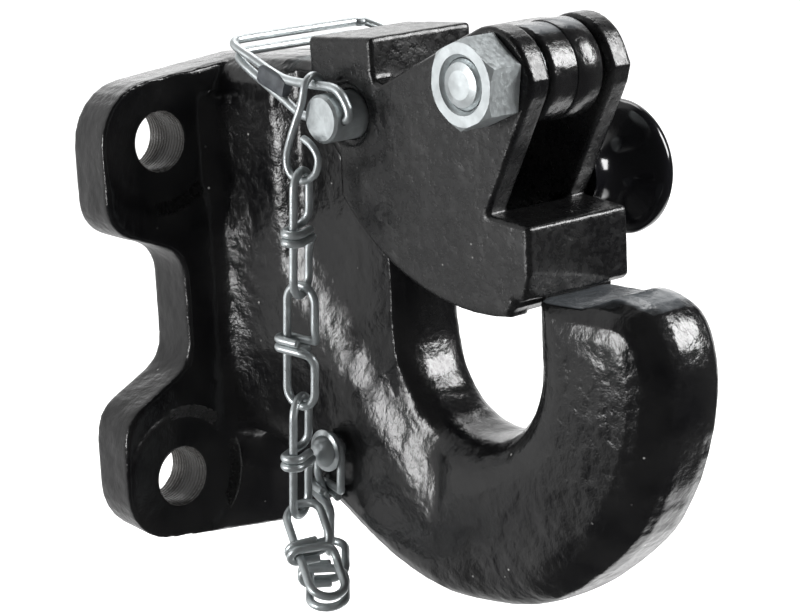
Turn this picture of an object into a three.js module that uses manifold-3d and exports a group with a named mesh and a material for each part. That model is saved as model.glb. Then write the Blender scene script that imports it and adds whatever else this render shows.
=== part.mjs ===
// Plate-mount pintle hook with a swinging latch, a lock pin on a wire bail and a tether chain.
// Millimetres. X runs forward from the back of the plate, Z is up, Y = 0 is the middle plane.
import * as THREE from 'three';
import { mergeVertices } from 'three/addons/utils/BufferGeometryUtils.js';
import Module from 'manifold-3d';

const wasm = await Module();
wasm.setup();

// ---- driving dimensions ----
const GAP = 0.3;                       // play between neighbouring pieces

const plateThick = 21;                 // flange
const boltY = 43;                      // bolt holes: half the spacing across
const boltZ = 59;                      // bolt holes: half the spacing up and down
const boltHoleR = 10.3;
const spotDepth = 1.2;                 // coned spot-face round each hole
const draftSide = 0.03;                // the plate's outline narrows to its back by this share
const draftUp = 0.015;
const spotInnerR = 21.5;
const spotOuterR = 25;

const hookHalf = 19;                   // half width of the forged neck and hook
const hookRound = 13;                  // rounding along their edges
const webDepth = 4.5;                  // how far the web is set back from the hook's beam
const throatX = 137.1;                 // centre of the throat
const throatZ = -0.5;
const throatR = 31.5;
const seatZ = 19.5;                    // machined land on top of the hook's tip

const pivotX = 161.5;                  // latch pivot
const pivotZ = 88;
const barrelR = 15.2;
const barrelHalf = 11;
const armHalf = 12.7;                  // upper arm, between the cheeks
const boltR = 7.94;                    // 5/8 in pivot bolt
const hexFlats = 25.4;                 // 1 in hex nut
const headR = 12;                      // low round head on the bolt's far end
const nutFace = -34.8;                 // the nut's outer face

const cheekIn = 13.3;                  // latch cheeks, inner and outer faces
const cheekOut = 22;
const hubR = 16.3;
const sweepX = 153;                    // centre of the arc along the cheek's lower edge
const sweepZ = 97;
const sweepR = 83.6;
const pocketR = 87;                    // body pocket behind the cheeks, about the pivot

const pinX = 93.5;                     // lock pin
const pinZ = 71.5;
const pinR = 7.94;
const pinNear = -33.6;
const pinFar = 31;
const bailY = -29.8;                   // cross hole for the bail, along X
const bailR = 1.5;

const knobX = 151;                     // knob on the far cheek
const knobZ = 50.4;
const knobR = 22.2;

const screwX = 76.5;                   // chain screw on the body's side
const screwZ = -43.6;
const linkLong = 44.4;                 // chain links
const linkWide = 14.6;
const linkR = 1.4;
const chainY = -36.8;                  // long run of the chain, and the short run by the body
const tailY = -22.6;
const headY = tailY - linkR - 1.7;     // under the chain screw's head

// ---- helpers ----
const vec = (x, y, z) => new THREE.Vector3(x, y, z);
const rad = THREE.MathUtils.degToRad;

function solid(geometry) {
  const bare = new THREE.BufferGeometry();
  const loose = geometry.index ? geometry.toNonIndexed() : geometry;
  bare.setAttribute('position', loose.getAttribute('position'));
  const merged = mergeVertices(bare, 1e-4);
  return new wasm.Manifold(new wasm.Mesh({
    numProp: 3,
    vertProperties: new Float32Array(merged.attributes.position.array),
    triVerts: new Uint32Array(merged.index.array),
  }));
}

function geometryOf(shape) {
  const mesh = shape.getMesh();
  const geometry = new THREE.BufferGeometry();
  geometry.setAttribute('position', new THREE.BufferAttribute(new Float32Array(mesh.vertProperties), 3));
  geometry.setIndex(new THREE.BufferAttribute(new Uint32Array(mesh.triVerts), 1));
  const flat = geometry.toNonIndexed();
  flat.computeVertexNormals();
  return flat;
}

// Closed outline from [a, b, radius] corners; each radius becomes an arc.
function rounded(corners, step = 15) {
  const out = [];
  corners.forEach(([a, b, radius = 0], i) => {
    const here = new THREE.Vector2(a, b);
    if (!radius) {
      out.push(here);
      return;
    }
    const [pa, pb] = corners[(i + corners.length - 1) % corners.length];
    const [na, nb] = corners[(i + 1) % corners.length];
    const back = new THREE.Vector2(pa - a, pb - b).normalize();
    const ahead = new THREE.Vector2(na - a, nb - b).normalize();
    const half = Math.acos(THREE.MathUtils.clamp(back.dot(ahead), -1, 1)) / 2;
    const reach = radius / Math.tan(half);
    const start = here.clone().addScaledVector(back, reach);
    const end = here.clone().addScaledVector(ahead, reach);
    const centre = here.clone().addScaledVector(back.clone().add(ahead).normalize(), radius / Math.sin(half));
    const from = Math.atan2(start.y - centre.y, start.x - centre.x);
    let turn = Math.atan2(end.y - centre.y, end.x - centre.x) - from;
    if (turn > Math.PI) turn -= 2 * Math.PI;
    if (turn < -Math.PI) turn += 2 * Math.PI;
    const pieces = Math.max(2, Math.round(Math.abs(turn) / rad(step)));
    for (let k = 0; k <= pieces; k += 1) {
      const angle = from + turn * k / pieces;
      out.push(new THREE.Vector2(centre.x + radius * Math.cos(angle), centre.y + radius * Math.sin(angle)));
    }
  });
  return out;
}

// A thick slab on one side of the plane through three points: the side that the fourth point is on.
function beyond(a, b, c, outside) {
  const normal = b.clone().sub(a).cross(c.clone().sub(a)).normalize();
  if (normal.dot(outside.clone().sub(a)) < 0) normal.negate();
  const turn = new THREE.Quaternion().setFromUnitVectors(vec(0, 0, 1), normal);
  const slab = new THREE.BoxGeometry(400, 400, 60).translate(0, 0, 30).applyQuaternion(turn);
  return solid(slab.translate(a.x, a.y, a.z));
}

// Points on a circle arc, angles in degrees, both ends kept.
function arc(cx, cy, radius, fromDeg, toDeg, pieces) {
  return Array.from({ length: pieces + 1 }, (_, k) => {
    const angle = rad(fromDeg + (toDeg - fromDeg) * k / pieces);
    return new THREE.Vector2(cx + radius * Math.cos(angle), cy + radius * Math.sin(angle));
  });
}

function prism(points, depth, bevel = 0, bevelPieces = 3) {
  return new THREE.ExtrudeGeometry(new THREE.Shape(points), {
    depth: depth - 2 * bevel,
    curveSegments: 1,
    bevelEnabled: bevel > 0,
    bevelSize: bevel,
    bevelOffset: -bevel,
    bevelThickness: bevel,
    bevelSegments: bevelPieces,
  }).translate(0, 0, bevel);
}

// XZ outline made solid between two Y values.
function sideways(points, fromY, toY, bevel = 0, bevelPieces = 3) {
  const geometry = prism(points, toY - fromY, bevel, bevelPieces);
  return solid(geometry.rotateX(Math.PI / 2).translate(0, toY, 0));
}

// YZ outline drawn out between two X values.
function forward(points, fromX, toX, bevel = 0) {
  const turn = new THREE.Matrix4().makeBasis(vec(0, 1, 0), vec(0, 0, 1), vec(1, 0, 0));
  return prism(points, toX - fromX, bevel, 2).applyMatrix4(turn).translate(fromX, 0, 0);
}

// Turned piece on a Y axis through (x, z); the profile is [radius, y] pairs.
function turned(profile, x, z, sides = 32) {
  const points = profile.map(([r, y]) => new THREE.Vector2(r, y));
  return new THREE.LatheGeometry(points, sides).translate(x, 0, z);
}

function pegY(radius, fromY, toY, x, z, sides = 32) {
  return solid(turned([[0, fromY], [radius, fromY], [radius, toY], [0, toY]], x, z, sides));
}

function pegX(radius, fromX, toX, y, z, sides = 32) {
  return solid(new THREE.CylinderGeometry(radius, radius, toX - fromX, sides)
    .rotateZ(-Math.PI / 2)
    .translate((fromX + toX) / 2, y, z));
}

function hexY(flats, fromY, toY, x, z, firstCorner) {
  const corners = arc(x, z, flats / Math.sqrt(3), firstCorner, firstCorner + 300, 5);
  return sideways(corners, fromY, toY);
}

// Round wire along a smooth path, with flat ends.
function wire(points, radius, rings, sides = 8, tension = 0.5) {
  const path = new THREE.CatmullRomCurve3(points, false, 'catmullrom', tension);
  const tube = new THREE.TubeGeometry(path, rings, radius, sides, false);
  const spots = tube.attributes.position;
  const across = sides + 1;
  const open = [];
  const grab = (i) => vec().fromBufferAttribute(spots, i);
  const flat = tube.toNonIndexed().attributes.position;
  for (let i = 0; i < flat.count; i += 1) {
    open.push(flat.getX(i), flat.getY(i), flat.getZ(i));
  }
  const cap = (first, centre, outward) => {
    for (let k = 0; k < sides; k += 1) {
      const a = grab(first + k);
      const b = grab(first + (k + 1) % sides);
      const normal = a.clone().sub(centre).cross(b.clone().sub(centre));
      const order = normal.dot(outward) > 0 ? [centre, a, b] : [centre, b, a];
      order.forEach((p) => open.push(p.x, p.y, p.z));
    }
  };
  cap(0, path.getPointAt(0), path.getTangentAt(0).negate());
  cap(rings * across, path.getPointAt(1), path.getTangentAt(1));
  const geometry = new THREE.BufferGeometry();
  geometry.setAttribute('position', new THREE.Float32BufferAttribute(open, 3));
  return solid(geometry);
}

// ---- forged body ----
function plateSolid() {
  const near = [
    [0, 84.5], [-67, 78.5, 21], [-67, 31, 14], [-36.5, 19.5, 12],
    [-36.5, -20, 12], [-66.5, -35, 15], [-66.5, -78, 19], [0, -86],
  ];
  const far = near.slice(1, -1).reverse().map(([y, z, r]) => [-y, z, r]);
  const blank = forward(rounded([...near, ...far]), 0, plateThick, 1.6);
  const spots = blank.attributes.position;
  for (let i = 0; i < spots.count; i += 1) {
    const back = 1 - spots.getX(i) / plateThick;
    spots.setY(i, spots.getY(i) * (1 - draftSide * back));
    spots.setZ(i, spots.getZ(i) * (1 - draftUp * back));
  }
  let plate = solid(blank);
  for (const y of [-boltY, boltY]) {
    for (const z of [-boltZ, boltZ]) {
      plate = plate.subtract(pegX(boltHoleR, -1, plateThick + 1, y, z, 40));
      const cone = new THREE.CylinderGeometry(spotOuterR, spotInnerR, spotDepth, 48)
        .rotateZ(-Math.PI / 2)
        .translate(plateThick - spotDepth / 2 + 0.01, y, z);
      plate = plate.subtract(solid(cone));
    }
  }
  return plate;
}

function hookSolid() {
  const outer = new THREE.CatmullRomCurve3([
    vec(33, -50, 0), vec(46, -57, 0), vec(66, -66, 0), vec(88, -78, 0), vec(110, -86, 0),
    vec(132, -88.5, 0), vec(153, -86, 0), vec(173, -78.5, 0), vec(190, -67, 0),
    vec(206, -51.5, 0), vec(216.6, -31, 0), vec(221.8, -8, 0), vec(220.6, 8, 0),
    vec(215, 18.5, 0), vec(205, 23.2, 0), vec(196, 23.6, 0),
  ]).getPoints(40).map((p) => new THREE.Vector2(p.x, p.y));
  const throat = arc(throatX, throatZ, throatR, 0, -180, 18);
  const points = [
    new THREE.Vector2(10, -50), ...outer,
    new THREE.Vector2(168.6, 24), ...throat,
    new THREE.Vector2(throatX - throatR, 30), new THREE.Vector2(108, 52),
    new THREE.Vector2(108, 82), new THREE.Vector2(75.5, 82), new THREE.Vector2(73, 86),
    new THREE.Vector2(60, 86.5), new THREE.Vector2(10, 84),
  ];
  const blank = sideways(points, -hookHalf, hookHalf, hookRound, 4);
  const land = sideways([
    new THREE.Vector2(150, seatZ), new THREE.Vector2(190, seatZ),
    new THREE.Vector2(198, seatZ + 3), new THREE.Vector2(204, seatZ + 6),
    new THREE.Vector2(150, seatZ + 6),
  ], -30, 30);
  return blank.subtract(land).subtract(webSolid(-1)).subtract(webSolid(1));
}

// The web above the hook's beam is thinner on each side. A slanted shoulder leads down to the beam.
function webSolid(side) {
  const web = hookHalf - webDepth;
  const field = [
    new THREE.Vector2(45, -60), new THREE.Vector2(126, -60),
    new THREE.Vector2(126, 92), new THREE.Vector2(45, 92),
  ];
  const room = side < 0 ? sideways(field, -30, -web) : sideways(field, web, 30);
  const spot = (x, y, z) => vec(x, side * y, z);
  const shoulder = beyond(
    spot(70.7, hookHalf, -9), spot(111.8, hookHalf, -51.9), spot(80.8, web, 0.7), spot(100, 40, 20),
  );
  const rootSlope = beyond(
    spot(50, hookHalf, 0), spot(50, hookHalf, 50), spot(60, web, 0), spot(60, 40, 0),
  );
  return room.intersect(shoulder).intersect(rootSlope);
}

function armSolid() {
  const points = rounded([
    [50, -10], [98, -10], [104, 20, 12], [104, 38, 20], [121, 66, 14], [150, 74.5], [163, 73],
    [163, 103], [150, 102.6], [136, 95.5], [121, 86.5, 12], [112, 82.3, 12], [50, 82.3],
  ]);
  const arm = sideways(points, -armHalf, armHalf, 1.5, 2);
  const farFace = pegY(18, barrelHalf, 20, pivotX, pivotZ, 40);
  const nearFace = pegY(18, -20, -barrelHalf, pivotX, pivotZ, 40);
  const barrel = solid(turned([
    [0, -barrelHalf], [barrelR - 1, -barrelHalf], [barrelR, -barrelHalf + 1],
    [barrelR, barrelHalf - 1], [barrelR - 1, barrelHalf], [0, barrelHalf],
  ], pivotX, pivotZ, 44));
  return arm.subtract(farFace).subtract(nearFace).add(barrel);
}

// Flare where the neck grows out of the plate.
function rootSolid() {
  const half = [[25, 12], [25, plateThick - 0.4], [22.8, 23], [21.2, 27], [20, 34], [18.6, 46], [14, 60]];
  const points = [
    ...half.map(([y, x]) => new THREE.Vector2(x, -y)),
    ...half.slice().reverse().map(([y, x]) => new THREE.Vector2(x, y)),
  ];
  return solid(prism(points, 118).translate(0, 0, -46));
}

// Room for the cheeks on each side of the arm.
function pocketSolid() {
  const points = [
    ...arc(sweepX, sweepZ, sweepR + 1.3, -82, -141.2, 14),
    ...arc(pivotX, pivotZ, pocketR, -150.5, -214, 12),
    new THREE.Vector2(120, 140), new THREE.Vector2(165, 140),
  ].reverse();
  const near = sideways(points, -40, -armHalf);
  const far = sideways(points, armHalf, 40);
  return near.add(far);
}

function bodySolid() {
  // Open saddle in the arm that the pin drops into when the latch is shut.
  // It bows back as the pin's swing does.
  const saddle = sideways([
    new THREE.Vector2(pinX - 11.8, 95), new THREE.Vector2(pinX - 11.8, pinZ + 14),
    new THREE.Vector2(pinX - 10.4, pinZ + 5),
    ...arc(pinX, pinZ, pinR + 0.8, -180, 0, 10),
    new THREE.Vector2(pinX + pinR + 0.8, 95),
  ], -30, 30);
  return plateSolid()
    .add(rootSolid())
    .add(hookSolid())
    .subtract(pocketSolid())
    .add(armSolid())
    .subtract(saddle)
    .subtract(pegY(10.6, -20, 20, pivotX, pivotZ, 40))
    .subtract(pegY(3.3, -30, -7, screwX, screwZ, 20));
}

// ---- latch casting ----
function latchSolid() {
  const cheek = [
    new THREE.Vector2(107.5, 83.4), new THREE.Vector2(110.5, 82.8),
    ...arc(pivotX, pivotZ, hubR, 116, 22, 9),
    new THREE.Vector2(pivotX + 17.4, pivotZ + 0.5), new THREE.Vector2(pivotX + 15.8, pivotZ - 5),
    new THREE.Vector2(157, 45.5),
    new THREE.Vector2(166, 44), new THREE.Vector2(166, 18),
    ...arc(sweepX, sweepZ, sweepR, -81.5, -141, 16),
    new THREE.Vector2(88, 57), new THREE.Vector2(82.5, 63), new THREE.Vector2(79.3, 71),
    new THREE.Vector2(76.4, 80), new THREE.Vector2(76, 88), new THREE.Vector2(100, 94),
  ].reverse();
  const nose = [
    new THREE.Vector2(157, 45.5), new THREE.Vector2(174, 43.8), new THREE.Vector2(175, 42.8),
    new THREE.Vector2(175, 22), new THREE.Vector2(173.4, seatZ + 0.9),
    new THREE.Vector2(167.7, seatZ + GAP), new THREE.Vector2(167.7, 17.5),
    new THREE.Vector2(164, 14.8), new THREE.Vector2(152, 13.6),
    new THREE.Vector2(149, 16), new THREE.Vector2(149, 40), new THREE.Vector2(151, 44),
  ].reverse();
  const block = rounded([[75.6, 83], [75.6, 95.6, 1.5], [106.6, 97.2, 1.2], [106.6, 83]], 30).reverse();
  let latch = sideways(cheek, -cheekOut, -cheekIn, 1, 1)
    .add(sideways(cheek, cheekIn, cheekOut, 1, 1))
    .add(sideways(nose, -cheekOut, cheekOut, 1.2, 1))
    .add(sideways(block, -cheekOut, cheekOut, 1, 1));
  const nearCorner = beyond(
    vec(175, -cheekOut, 30), vec(175, cheekOut, 20.5), vec(171, -cheekOut, 18), vec(190, 0, 0),
  );
  latch = latch
    .subtract(nearCorner)
    .subtract(pegY(10.5, -30, -cheekOut + 1.6, pinX, pinZ, 36))
    .subtract(pegY(pinR + GAP, -30, 30, pinX, pinZ, 36))
    .subtract(pegY(boltR + GAP, -30, 30, pivotX, pivotZ, 36))
    .subtract(pegY(4.3, 16.5, 30, knobX, knobZ, 20));
  return latch;
}

// ---- pivot hardware ----
const pivotBolt = solid(turned([
  [0, nutFace - 0.9], [4.5, nutFace - 0.7], [boltR - 1, nutFace], [boltR, nutFace + 1.4],
  [boltR, cheekOut + GAP], [headR, cheekOut + GAP], [headR, cheekOut + 1.8],
  [headR - 1.6, cheekOut + 3.2], [0, cheekOut + 3.6],
], pivotX, pivotZ, 40));

const nutBlank = hexY(hexFlats, nutFace, -cheekOut - GAP, pivotX, pivotZ, -98);
const nutCone = solid(turned([
  [0, nutFace - 0.1], [hexFlats / 2 + 0.1, nutFace - 0.1], [hexFlats / 2 + 4, nutFace + 3],
  [hexFlats / 2 + 4, -20], [0, -20],
], pivotX, pivotZ, 40));
const countersink = solid(turned([
  [0, nutFace - 1], [boltR + 2.1, nutFace - 1], [boltR + 1.5, nutFace], [boltR + GAP, nutFace + 1.5],
  [0, nutFace + 1.5],
], pivotX, pivotZ, 40));
const pivotNut = nutBlank.intersect(nutCone).subtract(countersink)
  .subtract(pegY(boltR + GAP, -40, -10, pivotX, pivotZ, 32));

const tubeY = (inner, outer, fromY, toY, x, z, sides = 32) => (
  pegY(outer, fromY, toY, x, z, sides).subtract(pegY(inner, fromY - 1, toY + 1, x, z, sides))
);
const bushing = tubeY(boltR + GAP, 10.3, -barrelHalf + 0.2, barrelHalf - 0.2, pivotX, pivotZ);
const washerNear = tubeY(boltR + GAP, 13.6, -12.95, -barrelHalf - GAP, pivotX, pivotZ);
const washerFar = tubeY(boltR + GAP, 13.6, barrelHalf + GAP, 12.95, pivotX, pivotZ);

// ---- knob ----
const knob = solid(turned([
  [0, 22.4], [10.2, 22.4], [8.8, 25], [8.5, 30], [10.2, 34.5], [15, 38.6], [knobR - 1.4, 41.4],
  [knobR, 43.6], [knobR - 1.2, 46.4], [14, 49], [0, 50],
], knobX, knobZ, 40)).subtract(pegY(4.3, 20, 35, knobX, knobZ, 20));
const knobStud = pegY(4, 16.5 + GAP, 34, knobX, knobZ, 20);

// ---- lock pin and bail ----
const lockPin = solid(turned([
  [0, pinNear], [pinR - 0.9, pinNear], [pinR, pinNear + 0.9],
  [pinR, pinFar - 1.6], [pinR - 1.8, pinFar], [0, pinFar],
], pinX, pinZ, 36)).subtract(pegX(bailR + GAP, pinX - 12, pinX + 12, bailY, pinZ, 16));

const bailPath = [
  vec(pinX + 5, bailY, pinZ), vec(pinX + 9.4, bailY, pinZ + 0.4), vec(pinX + 9.6, bailY, pinZ + 4),
  vec(pinX + 4.4, bailY, pinZ + 9.5), vec(pinX - 6, bailY, pinZ + 10.2), vec(pinX - 18, bailY, pinZ + 10.6),
  vec(68, bailY, 83.6), vec(56, bailY, 88.2), vec(48, bailY, 91.4),
  vec(44.4, bailY + 2.6, 92.8), vec(44, -20, 93.2), vec(44.2, 20, 93.2),
  vec(45.5, 26.6, 93), vec(50, 30, 91.8), vec(78, 35, 83), vec(90, 35, 79.5),
  vec(99, 35, 77.5), vec(101.8, 35, 72), vec(98, 35, 67.4), vec(90, 35, 66),
  vec(83, 35, 70.5), vec(70, 34, 78.6), vec(52, 30, 87), vec(47.6, 25, 89), vec(46.8, 16, 89.4),
  vec(46.8, -19, 89.4), vec(47, bailY + 2.4, 88.8), vec(51, bailY, 86.2), vec(62, bailY, 80.4),
  vec(72, bailY, 75.4), vec(79, bailY, 71.8), vec(pinX - 9.5, bailY, pinZ - 0.4), vec(pinX - 5, bailY, pinZ),
];
const bail = wire(bailPath, bailR, 112, 7);

// ---- tether chain ----
const sHook = wire([
  vec(86.6, bailY + 3.4, 79.6), vec(86.6, bailY + 3.5, 82.6), vec(87, bailY, 84.9),
  vec(87.6, bailY - 4, 82.8), vec(87, chainY + 1.2, 76), vec(83, chainY, 66.5),
  vec(79.6, chainY, 58.5), vec(81, chainY, 53.2), vec(86.6, chainY, 51.4),
  vec(93.4, chainY, 54.2), vec(95.4, chainY, 59.4), vec(92.6, chainY, 63.4),
  vec(88.2, chainY, 65.6),
], 1.2, 44, 7);

// One link: a long loop of wire with a wrapped knot across its middle.
// Its lower half is twisted by an angle.
function link(twistDeg) {
  const half = linkLong / 2 - linkWide / 2;
  const bend = linkWide / 2 - linkR;
  const points = [];
  for (const [end, from, twist] of [[1, 0, 0], [-1, 180, rad(twistDeg)]]) {
    for (let k = 0; k <= 6; k += 1) {
      const angle = rad(from + 180 * k / 6);
      const out = bend * Math.cos(angle);
      points.push(vec(out * Math.cos(twist), out * Math.sin(twist), end * half + bend * Math.sin(angle)));
    }
  }
  const loop = new THREE.CatmullRomCurve3(points, true, 'catmullrom', 0.01);
  const ring = solid(new THREE.TubeGeometry(loop, 32, linkR, 6, true));
  const reach = linkWide / 2 + 0.6;
  const wrap = rounded([[-reach, -2.2, 2], [reach, -2.2, 2], [reach, 2.2, 2], [-reach, 2.2, 2]], 30);
  const knot = solid(prism(wrap, 4.6, 0.8, 1).translate(0, 0, -2.3).rotateZ(rad(twistDeg / 2)));
  return ring.add(knot);
}

// A link between its top and bottom ends; turnDeg is the way its upper half faces.
function linkAt(top, bottom, turnDeg, twistDeg = 0) {
  const down = bottom.clone().sub(top).normalize();
  const wide = vec(Math.cos(rad(turnDeg)), Math.sin(rad(turnDeg)), 0);
  wide.addScaledVector(down, -wide.dot(down)).normalize();
  const up = down.clone().negate();
  const thin = up.clone().cross(wide);
  const spot = new THREE.Matrix4().makeBasis(wide, thin, up);
  spot.setPosition(top.clone().addScaledVector(down, linkLong / 2));
  const geometry = geometryOf(link(twistDeg));
  return solid(geometry.applyMatrix4(spot));
}

const pitch = linkLong - 4 * linkR - 2 * GAP;
const runTop = vec(86.8, chainY, 56.1);
const runStep = vec(-3.4, 0, -pitch);
const upperLinks = [115, 10, 115].map((turn, i) => {
  const top = runTop.clone().addScaledVector(runStep, i);
  return linkAt(top, top.clone().add(runStep), turn);
});
const lift = vec(0, 0, 3 * linkR + 3 * GAP);  // from a link's lower end up to the end of one laid across it
const threeTop = runTop.clone().addScaledVector(runStep, 2);
const threeEnd = threeTop.clone().addScaledVector(runStep.clone().normalize(), linkLong);
const fourWay = vec(29.6, -14, -19.5).normalize();
const fourTop = threeEnd.clone().add(lift).addScaledVector(fourWay, -linkR);
upperLinks.push(linkAt(fourTop, fourTop.clone().add(fourWay), 35, 20));

const tailTop = vec(screwX, tailY, screwZ + 6.2);
const tailEnd = vec(screwX - 4, tailY, tailTop.z - linkLong);
const fiveWay = vec(0.73, -0.642, -0.235);
const fiveTop = tailEnd.clone().add(lift).addScaledVector(fiveWay, -linkR);
const linkSix = linkAt(tailTop, tailEnd, 0, -36);
const linkFive = linkAt(fiveTop, fiveTop.clone().add(fiveWay), 48);

const chainScrew = solid(turned([
  [0, headY - 3.4], [2.4, headY - 3.2], [4.4, headY - 2.2], [5.4, headY - 0.5], [5.4, headY],
  [3, headY], [3, -7.6], [0, -7.6],
], screwX, screwZ, 28));
const chainWasher = tubeY(3.3, 7.2, headY + GAP, headY + 1.3, screwX, screwZ, 28);

// ---- the object ----
const paint = [0x0c0c0d, 0.3, 0.35];
const zinc = [0xb9c0c2, 0.35, 0.9];
const steel = [0x8d9092, 0.35, 0.95];
const plastic = [0x08080a, 0.15, 0.1];

const object = new THREE.Group();
function place(name, shape, [color, roughness, metalness]) {
  const material = new THREE.MeshStandardMaterial({ color, roughness, metalness });
  const mesh = new THREE.Mesh(geometryOf(shape), material);
  mesh.name = name;
  object.add(mesh);
}

place('hook_body', bodySolid(), paint);
place('latch', latchSolid(), paint);
place('pivot_bolt', pivotBolt, zinc);
place('pivot_nut', pivotNut, zinc);
place('pivot_bushing', bushing, steel);
place('thrust_washer_near', washerNear, steel);
place('thrust_washer_far', washerFar, steel);
place('latch_knob', knob, plastic);
place('knob_stud', knobStud, steel);
place('lock_pin', lockPin, zinc);
place('pin_bail', bail, zinc);
place('s_hook', sHook, zinc);
upperLinks.forEach((shape, i) => place(`chain_link_${i + 1}`, shape, zinc));
place('chain_link_5', linkFive, zinc);
place('chain_link_6', linkSix, zinc);
place('chain_screw', chainScrew, zinc);
place('chain_washer', chainWasher, zinc);

export default object;
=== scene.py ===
"""Looks of a plate-mount pintle hook: forged black hook and latch, zinc-plated hardware, tether chain.

The scene is in metres in the CAD frame: X forward from the plate's back face, near side at -Y, Z up.
Sizes are written in millimetres and turned into metres with MM.
"""

import math

import bpy
from mathutils import Matrix, Vector


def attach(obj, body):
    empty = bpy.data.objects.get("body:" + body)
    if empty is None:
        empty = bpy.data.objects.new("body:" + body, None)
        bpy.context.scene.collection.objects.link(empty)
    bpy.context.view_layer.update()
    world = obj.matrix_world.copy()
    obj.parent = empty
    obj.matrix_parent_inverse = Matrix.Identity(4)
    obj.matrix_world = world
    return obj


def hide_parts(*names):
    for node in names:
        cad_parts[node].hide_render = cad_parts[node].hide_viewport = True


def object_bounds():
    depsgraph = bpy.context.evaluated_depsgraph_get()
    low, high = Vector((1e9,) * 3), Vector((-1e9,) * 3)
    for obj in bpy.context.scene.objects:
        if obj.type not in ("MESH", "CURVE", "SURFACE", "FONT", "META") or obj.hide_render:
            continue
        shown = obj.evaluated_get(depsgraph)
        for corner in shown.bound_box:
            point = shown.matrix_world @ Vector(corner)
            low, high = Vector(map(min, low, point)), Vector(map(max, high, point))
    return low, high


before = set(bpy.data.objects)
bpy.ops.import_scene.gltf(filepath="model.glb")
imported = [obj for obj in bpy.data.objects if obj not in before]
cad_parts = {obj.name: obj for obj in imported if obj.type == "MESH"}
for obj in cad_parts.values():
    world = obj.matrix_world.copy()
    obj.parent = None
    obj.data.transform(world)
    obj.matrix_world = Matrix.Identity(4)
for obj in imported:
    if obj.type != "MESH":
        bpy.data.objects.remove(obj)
cad_low, cad_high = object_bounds()

MM = 0.001
scene = bpy.context.scene
scene.view_settings.view_transform = "Standard"
scene.view_settings.look = "None"

# Sizes in millimetres, as in the CAD.
BOLT_Y = 43             # bolt holes in the plate
BOLT_Z = 59
HOLE_R = 10.3
SPOT_INNER_R = 21.5     # coned spot-face round each hole
SPOT_OUTER_R = 25
SPOT_DEPTH = 1.2
PLATE_THICK = 21
THROAT_X = 137.1        # middle of the hook's throat
THROAT_Z = -0.5
PIVOT_X = 161.5         # latch pivot
PIVOT_Z = 88
BARREL_OUT = 18         # clear of the pivot barrel
SEAT_Z = 19.5           # level seat on the hook's tip
SEAT_X = 160            # where the seat starts, and past its end
SEAT_END_X = 205
PIN_X = 93.5            # lock pin and its bail
PIN_Z = 71.5
BAIL_Y = -29.8
CHAIN_Y = -36.8         # tether chain: long run, and short run from its screw
SCREW_X = 76.5          # screw that holds the short run
SCREW_Z = -43.6
TAIL_Y = -22.6
LINK_LONG = 44.4        # one link, over its wire
LINK_WIDE = 14.6
LINK_R = 1.4            # half the link wire's thickness
BAIL_R = 1.5
S_HOOK_R = 1.25
GAP = 0.3
HEAD_Y = TAIL_Y - LINK_R - 1.7      # under the chain screw's head

# ---------------------------------------------------------------- camera, floor and light

CAMERA_AT = Vector((0.7504, -0.5805, 0.2058))
CAMERA_TURN = math.radians(41.3)      # from +X towards -Y
CAMERA_DROP = math.radians(13.0)      # looking down
CAMERA_ROLL = math.radians(2.8)
CAMERA_LENS = 121.5                   # mm on a 36 mm sensor
MIDDLE = Vector((0.1, 0, 0))          # what the lights face
FLOOR_HALF = 20                       # metres
FLOOR_BELOW = 0.15


def make_camera():
    level = Vector((-math.cos(CAMERA_TURN), math.sin(CAMERA_TURN), 0))
    forward = level * math.cos(CAMERA_DROP) - Vector((0, 0, math.sin(CAMERA_DROP)))
    right = Vector((math.sin(CAMERA_TURN), math.cos(CAMERA_TURN), 0))
    up = right.cross(forward)
    tilted_right = right * math.cos(CAMERA_ROLL) - up * math.sin(CAMERA_ROLL)
    tilted_up = right * math.sin(CAMERA_ROLL) + up * math.cos(CAMERA_ROLL)
    data = bpy.data.cameras.new("camera")
    data.lens = CAMERA_LENS
    data.sensor_width = 36
    data.clip_start = 0.05
    data.clip_end = 60
    camera = bpy.data.objects.new("camera", data)
    turn = Matrix((tilted_right, tilted_up, -forward)).transposed().to_4x4()
    camera.matrix_world = Matrix.Translation(CAMERA_AT) @ turn
    scene.collection.objects.link(camera)
    scene.camera = camera


def soft_box(name, way, away, width, height, glow):
    """A rectangular light seen from the object in direction way, facing it."""
    data = bpy.data.lights.new(name, "AREA")
    data.shape = "RECTANGLE"
    data.size = width
    data.size_y = height
    data.energy = glow * width * height * math.pi
    light = bpy.data.objects.new(name, data)
    out = Vector(way).normalized()
    light.matrix_world = (Matrix.Translation(MIDDLE + out * away)
                          @ out.to_track_quat("Z", "Y").to_matrix().to_4x4())
    scene.collection.objects.link(light)


def make_floor():
    mesh = bpy.data.meshes.new("floor")
    corners = [(-FLOOR_HALF, -FLOOR_HALF, 0), (FLOOR_HALF, -FLOOR_HALF, 0),
               (FLOOR_HALF, FLOOR_HALF, 0), (-FLOOR_HALF, FLOOR_HALF, 0)]
    mesh.from_pydata(corners, [], [(0, 1, 2, 3)])
    floor = bpy.data.objects.new("floor", mesh)
    floor.location.z = cad_low.z - FLOOR_BELOW
    scene.collection.objects.link(floor)
    material = bpy.data.materials.new("pale_floor")
    material.use_nodes = True
    shader = material.node_tree.nodes["Principled BSDF"]
    shader.inputs["Base Color"].default_value = (0.9, 0.9, 0.9, 1)
    shader.inputs["Roughness"].default_value = 0.9
    shader.inputs["Emission Color"].default_value = (1, 1, 1, 1)
    shader.inputs["Emission Strength"].default_value = 0.8
    mesh.materials.append(material)
    floor.visible_glossy = False


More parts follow.
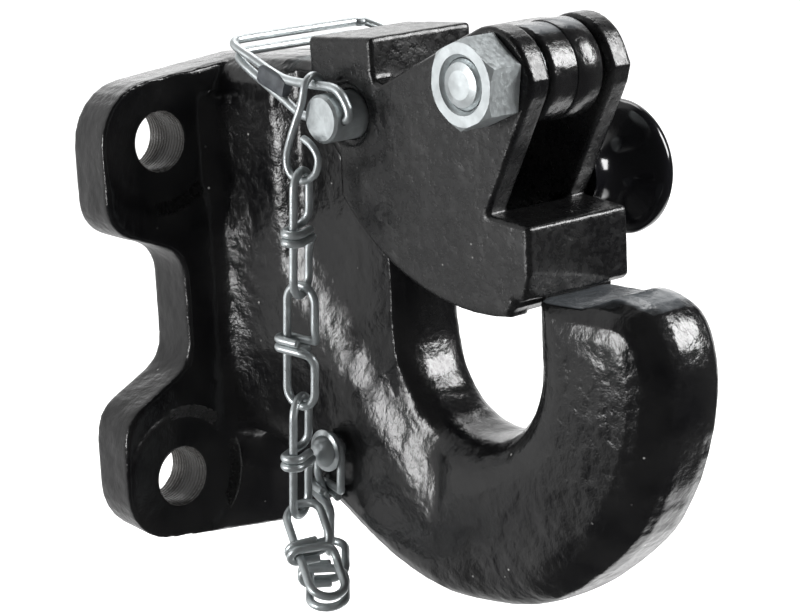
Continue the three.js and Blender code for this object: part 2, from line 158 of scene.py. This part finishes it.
# The studio seen in the gloss: (way, cosine where it starts, cosine where it is full, glow).
ROOM_GLOWS = (
    ((-0.97, 0.10, 0.20), 0.25, 0.54, 0.75),       # white far side; the camera's side stays dark
    ((-0.73, 0.64, 0.30), 0.80, 0.95, 0.9),        # bright wall that the level faces mirror
    ((-0.15, 0.65, -0.73), 0.90, 0.97, 2.2),       # light table below, behind on the right
)
ROOM_DARK = 0.035


def make_room():
    world = bpy.data.worlds.new("studio")
    world.use_nodes = True
    tree = world.node_tree
    background = tree.nodes["Background"]
    place = tree.nodes.new("ShaderNodeTexCoord")
    total = None
    for way, start, full, glow in ROOM_GLOWS:
        along = tree.nodes.new("ShaderNodeVectorMath")
        along.operation = "DOT_PRODUCT"
        along.inputs[1].default_value = Vector(way).normalized()
        tree.links.new(place.outputs["Generated"], along.inputs[0])
        fade = tree.nodes.new("ShaderNodeMapRange")
        fade.interpolation_type = "SMOOTHSTEP"
        fade.inputs["From Min"].default_value = start
        fade.inputs["From Max"].default_value = full
        fade.inputs["To Min"].default_value = 0 if total else ROOM_DARK
        fade.inputs["To Max"].default_value = glow
        tree.links.new(along.outputs["Value"], fade.inputs["Value"])
        if total is None:
            total = fade.outputs["Result"]
            continue
        both = tree.nodes.new("ShaderNodeMath")
        both.operation = "ADD"
        tree.links.new(total, both.inputs[0])
        tree.links.new(fade.outputs["Result"], both.inputs[1])
        total = both.outputs["Value"]
    tree.links.new(total, background.inputs["Strength"])
    background.inputs["Color"].default_value = (1, 1, 1, 1)
    scene.world = world


def make_studio():
    make_room()
    soft_box("right_box", (0.63, 0.64, 0.44), 1.6, 0.6, 0.9, 20)
    soft_box("left_box", (-0.33, -0.94, 0.05), 1.5, 0.32, 0.6, 19)
    soft_box("top_box", (-0.35, 0.35, 0.85), 1.5, 0.8, 0.5, 5)


# ---------------------------------------------------------------- materials

DUST_GREY = (0.30, 0.30, 0.29, 1)
# Lighter blue-grey for the hook's seat: rubbed thin paint, and partly a painted reflection of the pale wall.
SEAT_WEAR_AND_REFLECTION_GREY = (0.105, 0.115, 0.125, 1)


def new_material(name):
    material = bpy.data.materials.new(name)
    material.use_nodes = True
    tree = material.node_tree
    return material, tree, tree.nodes["Principled BSDF"]


def place_of(tree):
    place = tree.nodes.get("place") or tree.nodes.new("ShaderNodeTexCoord")
    place.name = "place"
    return place.outputs["Object"]


def noise_node(tree, scale, detail=2, rough=0.5):
    node = tree.nodes.new("ShaderNodeTexNoise")
    node.inputs["Scale"].default_value = scale
    node.inputs["Detail"].default_value = detail
    node.inputs["Roughness"].default_value = rough
    tree.links.new(place_of(tree), node.inputs["Vector"])
    return node.outputs["Fac"]


def ramp_node(tree, source, stops):
    node = tree.nodes.new("ShaderNodeValToRGB")
    ramp = node.color_ramp
    while len(ramp.elements) < len(stops):
        ramp.elements.new(0.5)
    for element, (at, value) in zip(ramp.elements, stops):
        element.position = at
        element.color = value if isinstance(value, tuple) else (value, value, value, 1)
    tree.links.new(source, node.inputs["Fac"])
    return node.outputs["Color"]


def bump_node(tree, height, strength, distance, under=None):
    node = tree.nodes.new("ShaderNodeBump")
    node.inputs["Strength"].default_value = strength
    node.inputs["Distance"].default_value = distance
    tree.links.new(height, node.inputs["Height"])
    if under is not None:
        tree.links.new(under, node.inputs["Normal"])
    return node.outputs["Normal"]


def mix_colours(tree, share, first, second):
    node = tree.nodes.new("ShaderNodeMix")
    node.data_type = "RGBA"
    tree.links.new(share, node.inputs["Factor"])
    for colour, socket in ((first, node.inputs["A"]), (second, node.inputs["B"])):
        if isinstance(colour, tuple):
            socket.default_value = colour
        else:
            tree.links.new(colour, socket)
    return node.outputs["Result"]


def speck_mask(tree, scale, size, share):
    """Small round specks: one in some of the cells of a cell pattern."""
    cells = tree.nodes.new("ShaderNodeTexVoronoi")
    cells.inputs["Scale"].default_value = scale
    tree.links.new(place_of(tree), cells.inputs["Vector"])
    dots = ramp_node(tree, cells.outputs["Distance"], [(size * 0.6, 1.0), (size, 0.0)])
    chosen = ramp_node(tree, cells.outputs["Color"], [(1 - share - 0.02, 0.0), (1 - share, 1.0)])
    both = tree.nodes.new("ShaderNodeMath")
    both.operation = "MULTIPLY"
    tree.links.new(dots, both.inputs[0])
    tree.links.new(chosen, both.inputs[1])
    return both.outputs["Value"]


def land_mask(tree):
    """1 on the upward faces of the level seat that the latch's nose comes down on, which are painted a
    lighter blue-grey: rubbed thin paint, and partly a painted reflection of the pale wall.
    """
    apart = tree.nodes.new("ShaderNodeSeparateXYZ")
    tree.links.new(place_of(tree), apart.inputs["Vector"])
    normal = tree.nodes.new("ShaderNodeNewGeometry")
    facing = tree.nodes.new("ShaderNodeSeparateXYZ")
    tree.links.new(normal.outputs["Normal"], facing.inputs["Vector"])
    share = None
    for source, start, full in ((apart.outputs["Z"], (SEAT_Z - 1.6) * MM, (SEAT_Z - 0.8) * MM),
                                (apart.outputs["X"], SEAT_X * MM, (SEAT_X + 4) * MM),
                                (facing.outputs["Z"], 0.80, 0.93)):
        fade = tree.nodes.new("ShaderNodeMapRange")
        fade.inputs["From Min"].default_value = start
        fade.inputs["From Max"].default_value = full
        tree.links.new(source, fade.inputs["Value"])
        if share is None:
            share = fade.outputs["Result"]
            continue
        both = tree.nodes.new("ShaderNodeMath")
        both.operation = "MULTIPLY"
        tree.links.new(share, both.inputs[0])
        tree.links.new(fade.outputs["Result"], both.inputs[1])
        share = both.outputs["Value"]
    return share


def black_paint(name, lumps, grit, gloss, dust, land=False):
    """Gloss black over a forged or cast skin: lumps, fine grit and settled dust; with land, the seat is
    painted a lighter blue-grey, partly rubbed paint and partly painted reflection.
    """
    material, tree, shader = new_material(name)
    broad = noise_node(tree, 120, 2, 0.5)
    peel = noise_node(tree, 430, 3, 0.6)
    fine = noise_node(tree, 1400, 2)
    haze = ramp_node(tree, noise_node(tree, 55, 3), [(0.35, (0.0035, 0.0035, 0.004, 1)),
                                                     (0.75, (0.011, 0.011, 0.011, 1))])
    specks = speck_mask(tree, 360, 0.17, dust)
    paint_colour = mix_colours(tree, specks, haze, DUST_GREY)
    if land:
        # Seat painted lighter blue-grey: rubbed thin paint, and partly a painted reflection of the pale wall.
        paint_colour = mix_colours(tree, land_mask(tree), paint_colour, SEAT_WEAR_AND_REFLECTION_GREY)
    tree.links.new(paint_colour, shader.inputs["Base Color"])
    spread = ramp_node(tree, peel, [(0.35, gloss), (0.7, gloss * 1.7)])
    tree.links.new(spread, shader.inputs["Roughness"])
    first = bump_node(tree, broad, lumps, 1.2 * MM)
    second = bump_node(tree, peel, lumps, 0.4 * MM, first)
    third = bump_node(tree, fine, grit, 0.15 * MM, second)
    tree.links.new(third, shader.inputs["Normal"])
    return material


def turned_paint(name, axis, base, lines):
    """Paint over a machined face or bore, with its fine tool marks across the given axis."""
    material, tree, shader = new_material(name)
    wave = tree.nodes.new("ShaderNodeTexWave")
    wave.wave_type = "BANDS"
    wave.bands_direction = axis
    wave.inputs["Scale"].default_value = lines
    wave.inputs["Distortion"].default_value = 1.5
    wave.inputs["Detail"].default_value = 2
    tree.links.new(place_of(tree), wave.inputs["Vector"])
    dull = tuple(0.5 * c for c in base) + (1,)
    tree.links.new(ramp_node(tree, wave.outputs["Fac"], [(0.3, dull), (0.8, tuple(base) + (1,))]),
                   shader.inputs["Base Color"])
    tree.links.new(ramp_node(tree, noise_node(tree, 500), [(0.3, 0.2), (0.7, 0.34)]),
                   shader.inputs["Roughness"])
    tree.links.new(bump_node(tree, wave.outputs["Fac"], 0.8, 0.35 * MM), shader.inputs["Normal"])
    return material


def zinc(name, base, rough, metal):
    """Zinc plate with faint clouding and draw marks."""
    material, tree, shader = new_material(name)
    light = tuple(base) + (1,)
    dark = tuple(0.78 * c for c in base) + (1,)
    cloud = ramp_node(tree, noise_node(tree, 180, 3), [(0.35, dark), (0.65, light)])
    tree.links.new(cloud, shader.inputs["Base Color"])
    spread = ramp_node(tree, noise_node(tree, 700), [(0.3, rough * 0.8), (0.7, rough * 1.3)])
    tree.links.new(spread, shader.inputs["Roughness"])
    tree.links.new(bump_node(tree, noise_node(tree, 1500), 0.3, 0.1 * MM), shader.inputs["Normal"])
    shader.inputs["Metallic"].default_value = metal
    return material


def black_knob():
    """Smooth black plastic, a little uneven in its gloss."""
    material, tree, shader = new_material("black_knob")
    tree.links.new(ramp_node(tree, noise_node(tree, 60, 3), [(0.3, 0.08), (0.75, 0.2)]),
                   shader.inputs["Roughness"])
    shader.inputs["Base Color"].default_value = (0.005, 0.005, 0.006, 1)
    tree.links.new(bump_node(tree, noise_node(tree, 90, 1), 0.15, 0.4 * MM), shader.inputs["Normal"])
    return material


def grey_sleeve():
    """Dull grey crimped band."""
    material, tree, shader = new_material("grey_band")
    tone = ramp_node(tree, noise_node(tree, 260, 3), [(0.3, (0.035, 0.040, 0.048, 1)),
                                                      (0.7, (0.09, 0.10, 0.11, 1))])
    tree.links.new(tone, shader.inputs["Base Color"])
    shader.inputs["Roughness"].default_value = 0.55
    tree.links.new(bump_node(tree, noise_node(tree, 900), 0.4, 0.1 * MM), shader.inputs["Normal"])
    return material


FORGED = black_paint("forged_paint", lumps=0.45, grit=0.35, gloss=0.16, dust=0.12, land=True)
CAST = black_paint("cast_paint", lumps=0.36, grit=0.7, gloss=0.22, dust=0.06)
SPOT = turned_paint("spot_face_paint", "Z", (0.008, 0.008, 0.008), 900)
BORE = turned_paint("bore_paint", "X", (0.13, 0.125, 0.12), 210)
ZINC = zinc("zinc_plate", (0.60, 0.64, 0.65), 0.40, 0.85)
STEEL = zinc("plain_steel", (0.36, 0.37, 0.38), 0.34, 1.0)
KNOB = black_knob()
BAND = grey_sleeve()


def dress(piece, material):
    piece.data.materials.clear()
    piece.data.materials.append(material)


# ---------------------------------------------------------------- forgings

def machined_share(point):
    """How far a point of the hook is machined: 1 on spot-faces, holes, barrel and back, 0.6 on the seat."""
    x, y, z = (c / MM for c in point)
    from_hole = math.hypot(abs(y) - BOLT_Y, abs(z) - BOLT_Z)
    spot_end = SPOT_OUTER_R + 2
    if x < PLATE_THICK + 9 and from_hole < spot_end:
        return min(1.0, (spot_end - from_hole) / 1.5)
    if math.hypot(x - PIVOT_X, z - PIVOT_Z) < BARREL_OUT:
        return 1.0
    if z > SEAT_Z - 1.5 and SEAT_X < x < SEAT_END_X:
        return 0.6
    if x < 0.4:
        return 1.0
    return 0.0


def baked(piece):
    """The piece's mesh with its modifiers applied."""
    bpy.context.view_layer.update()
    whole = piece.evaluated_get(bpy.context.evaluated_depsgraph_get())
    mesh = bpy.data.meshes.new_from_object(whole)
    piece.modifiers.clear()
    piece.data = mesh
    return mesh


CROWN_START = 47        # distance from the throat's middle where the sides start to draw in
CROWN_RISE = 34
NEAR_DRAW = 0.16        # share by which a side draws in at the outer edge
FAR_DRAW = 0.06


def crowned(point):
    """The hook's section is rounder towards its outer edge: its sides draw in there."""
    x, y, z = point
    out = math.hypot(x / MM - THROAT_X, z / MM - THROAT_Z)
    lower = min(1.0, max(0.0, (x / MM - 118) / 25))
    share = min(1.0, max(0.0, (out - CROWN_START) / CROWN_RISE)) * lower
    if z / MM > SEAT_Z + 8:
        share = 0
    draw = NEAR_DRAW if y < 0 else FAR_DRAW
    return Vector((x, y * (1 - draw * share ** 1.5), z))


def step(value, start, full):
    """0 before start, 1 from full on; start may be the larger one."""
    return min(1.0, max(0.0, (value - start) / (full - start)))


SHOULDER_X = 91.3       # a point of the slanted shoulder, and its normal
SHOULDER_Z = -28.5
SHOULDER_WAY = (0.722, 0.692)
WEB_END_X = 124
WEB_LOW_Z = -78         # where the web's fields end below


def blend_share(point):
    """1 along the shoulder between web and beam, the root's flare and the front end of the web's field."""
    x, y, z = (c / MM for c in point)
    across = abs((x - SHOULDER_X) * SHOULDER_WAY[0] + (z - SHOULDER_Z) * SHOULDER_WAY[1] - 2)
    side = step(abs(y), 7, 11) * step(abs(y), 33, 27)
    shoulder = step(across, 19, 10) * step(x, 52, 58) * step(z, 60, 50)
    root = step(x, 19.6, 21) * step(x, 56, 46) * step(z, 74, 62) * step(z, WEB_LOW_Z, WEB_LOW_Z + 12)
    front = step(abs(x - WEB_END_X), 20, 9) * step(z, 8, -4) * step(z, WEB_LOW_Z, WEB_LOW_Z + 12)
    return side * max(shoulder, root, front)


def forging(node, body, voxel, melt, dents, material, machined=None, shape=None, blend=None):
    """A copy of a CAD forging with melted edges and a hammered skin, except where it is machined."""
    piece = bpy.data.objects.new(node + "_forging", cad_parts[node].data.copy())
    scene.collection.objects.link(piece)
    skin = piece.modifiers.new("skin", "REMESH")
    skin.mode = "VOXEL"
    skin.voxel_size = voxel
    skin.use_smooth_shade = True
    mesh = baked(piece)
    rough = piece.vertex_groups.new(name="rough")
    blended = piece.vertex_groups.new(name="blended")
    for vertex in mesh.vertices:
        share = 1 - (machined(vertex.co) if machined else 0)
        rough.add([vertex.index], share, "REPLACE")
        if blend:
            blended.add([vertex.index], blend(vertex.co), "REPLACE")
        if shape:
            vertex.co = shape(vertex.co)
    if blend:
        flow = piece.modifiers.new("flow", "SMOOTH")
        flow.factor = 0.9
        flow.iterations = 110
        flow.vertex_group = "blended"
    soften = piece.modifiers.new("soften", "SMOOTH")
    soften.factor = 0.5
    soften.iterations = melt
    soften.vertex_group = "rough"
    for size, depth in dents:
        texture = bpy.data.textures.new(f"{node}_dents_{size}", "CLOUDS")
        texture.noise_scale = size * MM
        texture.noise_depth = 2
        hammered = piece.modifiers.new("hammered", "DISPLACE")
        hammered.texture = texture
        hammered.texture_coords = "LOCAL"
        hammered.strength = depth * MM
        hammered.mid_level = 0.5
        hammered.vertex_group = "rough"
    dress(piece, material)
    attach(piece, body)
    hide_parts(node)
    return piece


# ---------------------------------------------------------------- turned pieces and wires

def new_piece(name, points, faces, material, body, replaced=None, smooth_deg=40):
    """A piece from points in mm. It rides on a body, and replaces a CAD node if one is named."""
    mesh = bpy.data.meshes.new(name)
    mesh.from_pydata([tuple(c * MM for c in p) for p in points], [], faces)
    mesh.validate()
    piece = bpy.data.objects.new(name, mesh)
    scene.collection.objects.link(piece)
    mesh.shade_smooth()
    mesh.set_sharp_from_angle(angle=math.radians(smooth_deg))
    dress(piece, material)
    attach(piece, body)
    if replaced:
        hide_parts(replaced)
    return piece


def loft_faces(rings, count):
    """Faces of a closed solid of rings of count points each, with flat ends."""
    faces = [tuple(reversed(range(count)))]
    for i in range(rings - 1):
        for k in range(count):
            n = (k + 1) % count
            faces.append((i * count + k, i * count + n, (i + 1) * count + n, (i + 1) * count + k))
    faces.append(tuple(range((rings - 1) * count, rings * count)))
    return faces


def lathe(profile, axis, centre, sides=72):
    """Points and faces of a closed profile of (radius, along) turned about an axis X or Y."""
    ring = [math.tau * k / sides for k in range(sides)]
    points = []
    for radius, along in profile:
        for turn in ring:
            a, b = radius * math.cos(turn), radius * math.sin(turn)
            offset = (along, a, b) if axis == "X" else (b, along, a)
            points.append([c + d for c, d in zip(centre, offset)])
    faces = []
    rows = len(profile)
    for row in range(rows):
        after = (row + 1) % rows
        for k in range(sides):
            n = (k + 1) % sides
            faces.append((row * sides + k, row * sides + n, after * sides + n, after * sides + k))
    return points, faces


def smooth_path(points, step=0.8, closed=False):
    """A Catmull-Rom curve through the points, cut into short even steps."""
    points = [Vector(p) for p in points]
    count = len(points)
    result = []
    spans = count if closed else count - 1
    for i in range(spans):
        def at(k):
            return points[k % count] if closed else points[max(0, min(count - 1, k))]
        p0, p1, p2, p3 = at(i - 1), at(i), at(i + 1), at(i + 2)
        pieces = max(2, int((p2 - p1).length / step))
        for j in range(pieces):
            t = j / pieces
            result.append(0.5 * ((2 * p1) + (p2 - p0) * t + (2 * p0 - 5 * p1 + 4 * p2 - p3) * t * t
                                 + (3 * p1 - p0 - 3 * p2 + p3) * t * t * t))
    if not closed:
        result.append(points[-1])
    return result


def tube(path, radius, sides=14):
    """A round wire along a path, with slightly chamfered ends."""
    path = [Vector(p) for p in path]
    first = (path[1] - path[0]).normalized()
    last = (path[-1] - path[-2]).normalized()
    chamfer = radius * 0.3
    path = [path[0], path[0] + first * chamfer] + path[1:-1] + [path[-1] - last * chamfer, path[-1]]
    side = first.orthogonal().normalized()
    points = []
    for i, here in enumerate(path):
        ahead = path[min(i + 1, len(path) - 1)] - path[max(i - 1, 0)]
        ahead.normalize()
        side = (side - ahead * side.dot(ahead)).normalized()
        other = ahead.cross(side)
        wide = radius * (0.7 if i in (0, len(path) - 1) else 1)
        for k in range(sides):
            turn = math.tau * k / sides
            points.append(here + side * math.cos(turn) * wide + other * math.sin(turn) * wide)
    return points, loft_faces(len(path), sides)


# ---------------------------------------------------------------- spot-faces and bolt holes

def plate_hole(name, y, z):
    """The crisp cone of a spot-face on the side of the plate's middle, and the bored wall of the hole."""
    floor = PLATE_THICK - SPOT_DEPTH
    section = [(SPOT_INNER_R - 0.9, -0.9), (SPOT_INNER_R - 0.5, 0.22), (SPOT_INNER_R, 0.30),
               (SPOT_OUTER_R - 0.3, SPOT_DEPTH + 0.12), (SPOT_OUTER_R + 0.3, SPOT_DEPTH + 0.16),
               (SPOT_OUTER_R + 0.7, SPOT_DEPTH - 0.8)]
    steps = 48
    middle_way = math.atan2(-0.45 * z, -y)
    points = []
    for k in range(steps + 1):
        share = 2 * k / steps - 1
        turn = middle_way + share * math.radians(88)
        sink = 0.9 * max(0.0, abs(share) - 0.7) / 0.3
        for radius, rise in section:
            points.append((floor + rise - sink, y + radius * math.cos(turn), z + radius * math.sin(turn)))
    faces = loft_faces(steps + 1, len(section))
    new_piece(name + "_cone", points, faces, SPOT, "frame", smooth_deg=20)
    wall = [(HOLE_R + 0.2, 0.4), (HOLE_R + 0.2, floor - 0.1)]
    rings = 14
    for k in range(rings * 2 + 1):
        along = floor - 0.1 - (floor - 0.5) * k / (rings * 2)
        wall.append((HOLE_R - 0.05 - (0.16 if k % 2 else 0), along))
    points, faces = lathe(wall, "X", (0, y, z), 72)
    new_piece(name + "_wall", points, faces, BORE, "frame", smooth_deg=25)


# ---------------------------------------------------------------- barrel step, knob, chain screw

def barrel_step():
    """The far half of the pivot barrel is a hair thicker than the near half."""
    ring = [(14.6, 0.2), (15.35, 0.2), (15.6, 0.5), (15.6, 10.2), (15.3, 10.7), (14.6, 10.7)]
    points, faces = lathe(ring, "Y", (PIVOT_X, 0, PIVOT_Z), 96)
    new_piece("barrel_step", points, faces, FORGED, "frame", smooth_deg=50)


def turned_pieces():
    """The latch knob, the chain screw and its flange ring."""
    knob = [
        (4.6, 22.4), (10.2, 22.4), (9.3, 23.6), (8.8, 25), (8.4, 27.5), (8.5, 30), (9.0, 32.4),
        (10.2, 34.5), (12.2, 36.8), (15, 38.6), (18, 39.9), (20.8, 41.3), (21.9, 42.5), (22.2, 43.8),
        (21.9, 45.2), (21, 46.4), (18.2, 47.8), (14, 49), (7, 49.8), (0.01, 50), (0.01, 35.2), (4.6, 35),
    ]
    points, faces = lathe(knob, "Y", (151, 0, 50.4), 96)
    new_piece("latch_knob_turned", points, faces, KNOB, "latch", "latch_knob", 50)
    screw = [
        (0.01, HEAD_Y - 3.4), (1.4, HEAD_Y - 3.3), (2.8, HEAD_Y - 3.0), (3.9, HEAD_Y - 2.4),
        (4.8, HEAD_Y - 1.4), (5.3, HEAD_Y - 0.4), (5.4, HEAD_Y), (3, HEAD_Y), (3, -7.7), (0.01, -7.7),
    ]
    points, faces = lathe(screw, "Y", (SCREW_X, 0, SCREW_Z), 48)
    new_piece("chain_screw_turned", points, faces, ZINC, "frame", "chain_screw")
    washer = [
        (3.4, HEAD_Y + 0.3), (6.8, HEAD_Y + 0.3), (7.2, HEAD_Y + 0.6), (7.2, HEAD_Y + 1.1),
        (6.9, HEAD_Y + 1.3), (3.4, HEAD_Y + 1.3),
    ]
    points, faces = lathe(washer, "Y", (SCREW_X, 0, SCREW_Z), 48)
    new_piece("chain_washer_turned", points, faces, ZINC, "frame", "chain_washer")


# ---------------------------------------------------------------- bail, S-hook and chain

BAIL_PATH = [
    (PIN_X + 5, BAIL_Y, PIN_Z), (PIN_X + 9.4, BAIL_Y, PIN_Z + 0.4), (PIN_X + 9.6, BAIL_Y, PIN_Z + 4),
    (PIN_X + 4.4, BAIL_Y, PIN_Z + 9.5), (PIN_X - 6, BAIL_Y, PIN_Z + 10.2), (PIN_X - 18, BAIL_Y, PIN_Z + 10.6),
    (68, BAIL_Y, 83.6), (56, BAIL_Y, 88.2), (48, BAIL_Y, 91.4),
    (44.4, BAIL_Y + 2.6, 92.8), (44, -20, 93.2), (44.2, 20, 93.2),
    (45.5, 26.6, 93), (50, 30, 91.8), (78, 35, 83), (90, 35, 79.5),
    (99, 35, 77.5), (101.8, 35, 72), (98, 35, 67.4), (90, 35, 66),
    (83, 35, 70.5), (70, 34, 78.6), (52, 30, 87), (47.6, 25, 89), (46.8, 16, 89.4),
    (46.8, -19, 89.4), (47, BAIL_Y + 2.4, 88.8), (51, BAIL_Y, 86.2), (62, BAIL_Y, 80.4),
    (72, BAIL_Y, 75.4), (79, BAIL_Y, 71.8), (PIN_X - 9.5, BAIL_Y, PIN_Z - 0.4), (PIN_X - 5, BAIL_Y, PIN_Z),
]

S_HOOK_PATH = [
    (86.6, BAIL_Y + 3.4, 79.6), (86.6, BAIL_Y + 3.5, 82.6), (87, BAIL_Y, 84.9),
    (87.6, BAIL_Y - 4, 82.8), (87, CHAIN_Y + 1.2, 76), (83, CHAIN_Y, 66.5),
    (79.6, CHAIN_Y, 58.5), (81, CHAIN_Y, 53.2), (86.6, CHAIN_Y, 51.4),
    (93.4, CHAIN_Y, 54.2), (95.4, CHAIN_Y, 59.4), (92.6, CHAIN_Y, 63.4),
    (88.2, CHAIN_Y, 65.6),
]


def wires():
    points, faces = tube(smooth_path(BAIL_PATH), BAIL_R)
    new_piece("bail_wire", points, faces, ZINC, "bail", "pin_bail", 60)
    points, faces = tube(smooth_path(S_HOOK_PATH, 0.6), S_HOOK_R)
    new_piece("s_hook_wire", points, faces, ZINC, "s_hook", "s_hook", 60)


def bail_band():
    """Flat band crimped round the bail's two strands beside the pin."""
    upper = Vector((68, BAIL_Y, 83.6)) - Vector((56, BAIL_Y, 88.2))
    along = upper.normalized()
    across = Vector((-along.z, 0, along.x))
    if across.z > 0:
        across = -across
    start = Vector((61.5, BAIL_Y, 86.4))
    points = []
    rows = 12
    section = []
    for k in range(24):
        turn = math.tau * k / 24
        section.append((3.6 * math.copysign(abs(math.cos(turn)) ** 0.5, math.cos(turn)),
                        1.95 * math.copysign(abs(math.sin(turn)) ** 0.7, math.sin(turn))))
    for row in range(rows + 1):
        share = row / rows
        spot = start + along * (13.5 * share) + across * (2.7 - 0.4 * share)
        pinch = 1 - 0.12 * (2 * share - 1) ** 8
        for wide, thick in section:
            points.append(spot + across * wide * pinch + Vector((0, 1, 0)) * thick * pinch)
    count = len(section)
    faces = [tuple(range(count))]
    for row in range(rows):
        for k in range(count):
            n = (k + 1) % count
            faces.append((row * count + k, (row + 1) * count + k, (row + 1) * count + n, row * count + n))
    faces.append(tuple(reversed(range(rows * count, (rows + 1) * count))))
    new_piece("bail_band", points, faces, BAND, "bail", smooth_deg=50)


def link_path(twist_deg):
    """One wire: a long loop whose two ends wrap round its straight strand at mid-length.

    Local axes: X across the link, Y through it, Z along it. The lower half is twisted by an angle.
    """
    half = LINK_LONG / 2 - LINK_WIDE / 2
    bend = LINK_WIDE / 2 - LINK_R
    coil = 2 * LINK_R + 0.1
    strand = -bend
    straight = half - 3
    path = []

    def wrap(level, upward):
        """From the free end, round the straight strand, to the corner of the other strand."""
        front = -coil * upward
        turn = [Vector((1.2, front, level)), Vector((-1.5, front, level))]
        for k in range(9):
            angle = math.radians(90 + 180 * k / 8)
            turn.append(Vector((strand + coil * math.cos(angle), front * math.sin(angle), level)))
        turn.append(Vector((-1.0, -front, level)))
        turn.append(Vector((bend - 3.4, -front * 0.95, level + 0.1 * upward)))
        turn.append(Vector((bend - 0.9, -front * 0.55, level + 1.0 * upward)))
        turn.append(Vector((bend, -front * 0.12, level + 3.4 * upward)))
        return turn

    path += wrap(LINK_R + 0.05, 1)
    path += [Vector((bend, 0, 0.6 * straight)), Vector((bend, 0, straight))]
    for k in range(13):
        angle = math.pi * k / 12
        path.append(Vector((bend * math.cos(angle), 0, half + bend * math.sin(angle))))
    for k in range(9):
        path.append(Vector((strand, 0, straight * (1 - k / 4))))
    for k in range(13):
        angle = math.pi + math.pi * k / 12
        path.append(Vector((bend * math.cos(angle), 0, -half + bend * math.sin(angle))))
    path += [Vector((bend, 0, -straight)), Vector((bend, 0, -0.6 * straight))]
    path += list(reversed(wrap(-LINK_R - 0.05, -1)))
    bent = []
    for spot in path:
        share = min(1.0, max(0.0, 0.5 - spot.z / 12))
        turn = Matrix.Rotation(math.radians(twist_deg) * share, 3, "Z")
        bent.append(turn @ spot)
    return smooth_path(bent, 0.7)


def chain_link(number, body, top, way, turn_deg, twist_deg):
    """A link from its top along way, its width turned about Z, its lower half twisted."""
    down = way.normalized()
    wide = Vector((math.cos(math.radians(turn_deg)), math.sin(math.radians(turn_deg)), 0))
    wide = (wide - down * wide.dot(down)).normalized()
    up = -down
    thin = up.cross(wide)
    spot = Matrix((wide, thin, up)).transposed().to_4x4()
    spot.translation = top + down * LINK_LONG / 2
    points, faces = tube([spot @ p for p in link_path(twist_deg)], LINK_R)
    new_piece(f"chain_link_{number}_wire", points, faces, ZINC, body,
              f"chain_link_{number}", 60)


def chain():
    """Links 1 to 4 hang from the S-hook. Links 6 and 5 hang from the screw and don't meet link 4."""
    pitch = LINK_LONG - 4 * LINK_R - 2 * GAP
    drop = Vector((-3.4, 0, -pitch))
    top = Vector((86.8, CHAIN_Y, 56.1))
    lift = Vector((0, 0, 3 * LINK_R + 3 * GAP))
    for number, turn in ((1, 115), (2, 10), (3, 115)):
        chain_link(number, "chain_upper", top + drop * (number - 1), drop, turn, 0)
    three_end = top + drop * 2 + drop.normalized() * LINK_LONG
    four_way = Vector((29.6, -14, -19.5)).normalized()
    chain_link(4, "chain_upper", three_end + lift - four_way * LINK_R, four_way, 35, 20)
    tail_top = Vector((SCREW_X, TAIL_Y, SCREW_Z + 6.2))
    tail_end = Vector((SCREW_X - 4, TAIL_Y, tail_top.z - LINK_LONG))
    chain_link(6, "chain_tail", tail_top, tail_end - tail_top, 0, -36)
    five_way = Vector((0.73, -0.642, -0.235)).normalized()
    chain_link(5, "chain_tail", tail_end + lift - five_way * LINK_R, five_way, 48, 0)


# ---------------------------------------------------------------- CAD nodes that stay

def crisp(node, material, width):
    """A CAD node that keeps its mesh, with a bevel of the given width in mm on its edges, if any."""
    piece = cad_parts[node]
    dress(piece, material)
    if width:
        bevel = piece.modifiers.new("edge", "BEVEL")
        bevel.width = width * MM
        bevel.segments = 2
        bevel.limit_method = "ANGLE"
        bevel.angle_limit = math.radians(35)


# ---------------------------------------------------------------- making the scene

make_camera()
make_floor()
make_studio()

forging("hook_body", "frame", 0.9 * MM, 3, ((13, 0.45), (4, 0.16)), FORGED,
        machined_share, crowned, blend_share)
forging("latch", "latch", 0.65 * MM, 2, ((9, 0.3),), CAST)
for up_name, z in (("upper", BOLT_Z), ("lower", -BOLT_Z)):
    for side_name, y in (("near", -BOLT_Y), ("far", BOLT_Y)):
        plate_hole(f"bolt_hole_{up_name}_{side_name}", y, z)
turned_pieces()
barrel_step()
wires()
bail_band()
chain()
for node in ("pivot_nut", "pivot_bolt", "lock_pin"):
    crisp(node, ZINC, 0.35)
for node in ("pivot_bushing", "thrust_washer_near", "thrust_washer_far", "knob_stud"):
    crisp(node, STEEL, 0)
